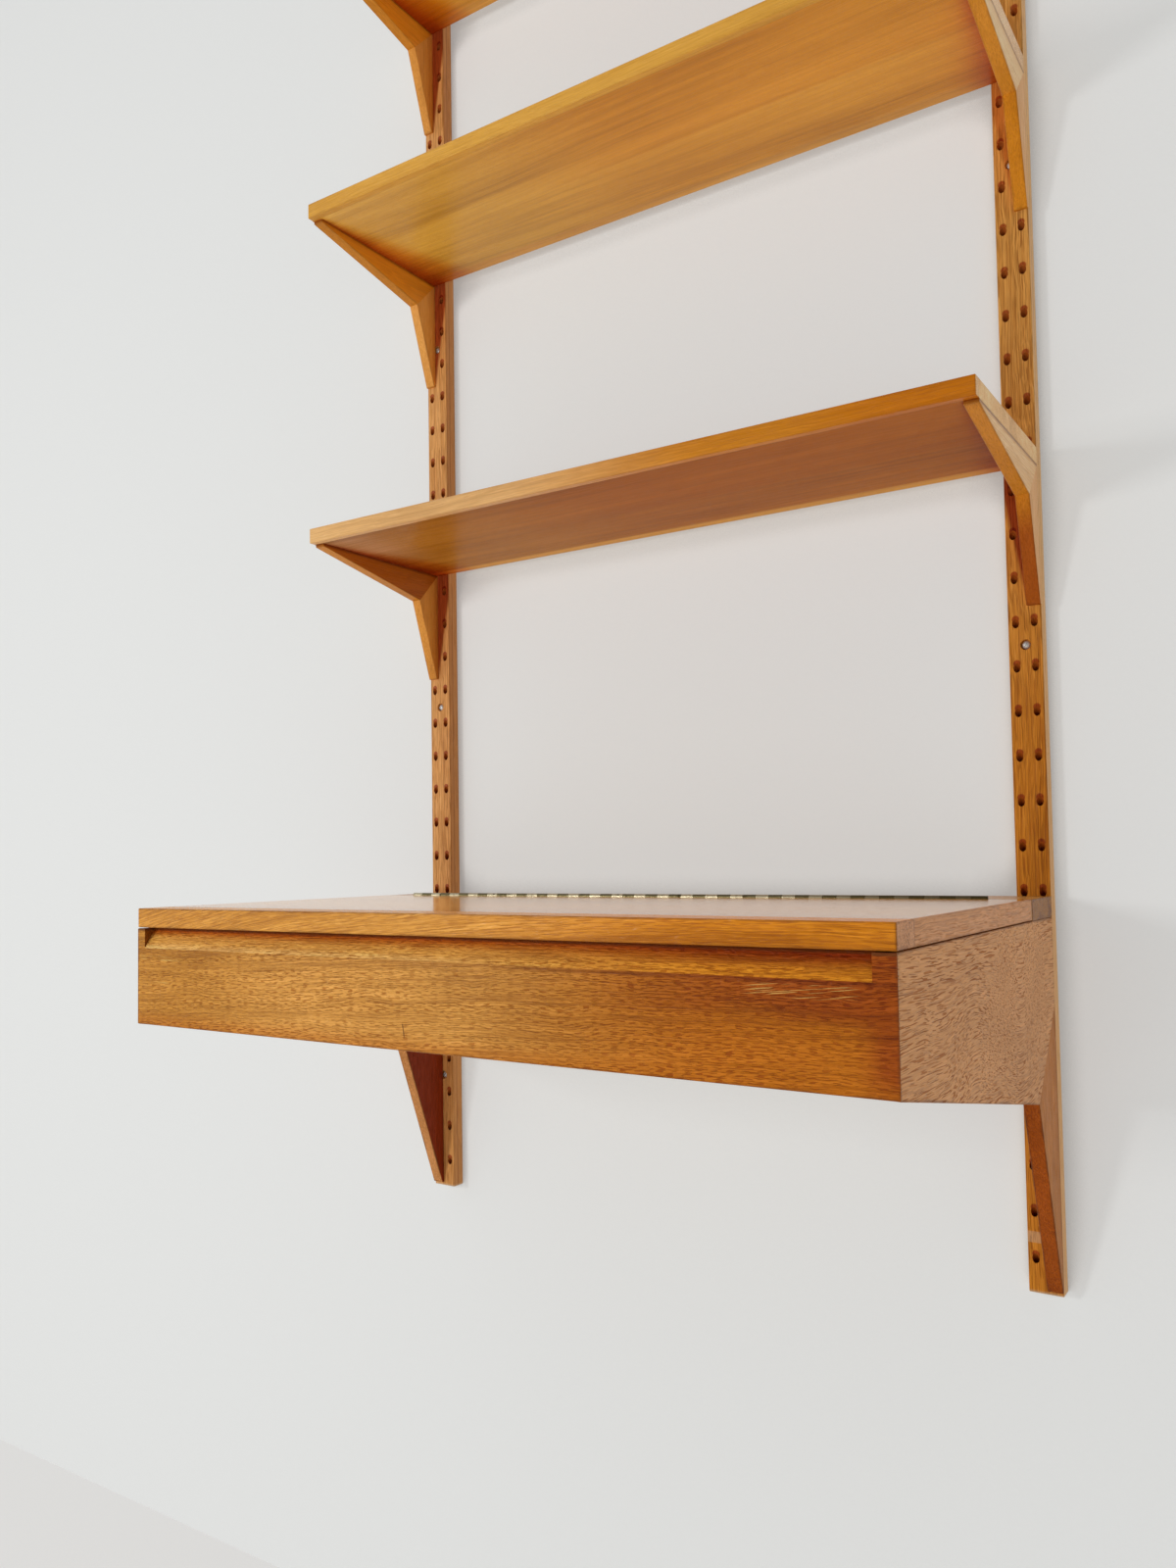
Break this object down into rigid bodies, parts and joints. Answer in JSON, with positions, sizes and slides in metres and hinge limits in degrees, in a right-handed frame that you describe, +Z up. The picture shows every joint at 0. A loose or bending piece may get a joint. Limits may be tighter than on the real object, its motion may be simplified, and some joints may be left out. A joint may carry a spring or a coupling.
{
  "type": "wall-hung shelving unit with desk",
  "caption": "Wall-hung oak shelving unit: drilled wall rails carry pegged shelves on mitred brackets and a shallow box desk with a hinged lid.",
  "frame": {"origin": "on the wall plane, midway between the two rails and at half their height", "axes": "+X to the viewer's right along the shelves, +Y into the wall, +Z up"},
  "size_m": [0.8, 0.521, 1.777],
  "materials": {
    "rail_oak": "oiled oak with slanting peg holes, worn arrises",
    "shelf_oak": "satin lacquered oak veneer",
    "lipping_oak": "solid oak edge, satin lacquer",
    "bracket_oak": "satin lacquered solid oak",
    "desk_oak": "satin lacquered oak, scratched and darker at the arrises",
    "lid_oak": "semi-gloss lacquered oak",
    "edging_oak": "thin oak edging, worn",
    "panel_ply": "plain plywood",
    "beech": "turned beech",
    "screw_steel": "zinc plated",
    "peg_steel": "plain drawn rod",
    "hinge_brass": "aged brass with a dark patina"
  },
  "bodies": {
    "rails": {"left_rail": "rail_oak", "right_rail": "rail_oak", "wall_screws": "screw_steel"},
    "lower_shelf": {"lower_bracket_pegs": "peg_steel", "lower_left_bracket_arm": "bracket_oak", "lower_left_bracket_leg": "bracket_oak", "lower_mitre_dowels": "beech", "lower_right_bracket_arm": "bracket_oak", "lower_right_bracket_leg": "bracket_oak", "lower_shelf_board": "shelf_oak", "lower_shelf_lipping": "lipping_oak", "lower_shelf_pins": "beech"},
    "middle_shelf": {"middle_bracket_pegs": "peg_steel", "middle_left_bracket_arm": "bracket_oak", "middle_left_bracket_leg": "bracket_oak", "middle_mitre_dowels": "beech", "middle_right_bracket_arm": "bracket_oak", "middle_right_bracket_leg": "bracket_oak", "middle_shelf_board": "shelf_oak", "middle_shelf_lipping": "lipping_oak", "middle_shelf_pins": "beech"},
    "upper_shelf": {"upper_bracket_pegs": "peg_steel", "upper_left_bracket_arm": "bracket_oak", "upper_left_bracket_leg": "bracket_oak", "upper_mitre_dowels": "beech", "upper_right_bracket_arm": "bracket_oak", "upper_right_bracket_leg": "bracket_oak", "upper_shelf_board": "shelf_oak", "upper_shelf_lipping": "lipping_oak", "upper_shelf_pins": "beech"},
    "desk": {"desk_back_panel": "panel_ply", "desk_bottom_panel": "panel_ply", "desk_corner_tongues": "beech", "desk_front_panel": "desk_oak", "desk_left_leg": "desk_oak", "desk_left_side": "desk_oak", "desk_mitre_dowels": "beech", "desk_pegs": "peg_steel", "desk_right_leg": "desk_oak", "desk_right_side": "desk_oak", "desk_strip_dowels": "beech", "desk_top_strip": "lid_oak", "hinge_fixed_leaf": "hinge_brass", "hinge_fixed_screws": "hinge_brass", "hinge_pin": "hinge_brass"},
    "lid": {"hinge_lid_leaf": "hinge_brass", "hinge_lid_screws": "hinge_brass", "lid_board": "lid_oak", "lid_front_lipping": "lid_oak", "lid_left_edging": "edging_oak", "lid_right_edging": "edging_oak"}
  },
  "joints": [
    {"name": "lid_hinge", "type": "hinge", "parent": "desk", "child": "lid", "pos_m": [0, -0.0985, -0.4991], "axis": [-1, 0, 0], "range_deg": [0, 97.5]},
    {"name": "desk_lift", "type": "slide", "parent": "rails", "child": "desk", "axis": [0, -0.7071, 0.7071], "range_m": [0, 0.04]},
    {"name": "lower_shelf_lift", "type": "slide", "parent": "rails", "child": "lower_shelf", "axis": [0, -0.7071, 0.7071], "range_m": [0, 0.04]},
    {"name": "middle_shelf_lift", "type": "slide", "parent": "rails", "child": "middle_shelf", "axis": [0, -0.7071, 0.7071], "range_m": [0, 0.04]},
    {"name": "upper_shelf_lift", "type": "slide", "parent": "rails", "child": "upper_shelf", "axis": [0, -0.7071, 0.7071], "range_m": [0, 0.04]}
  ]
}
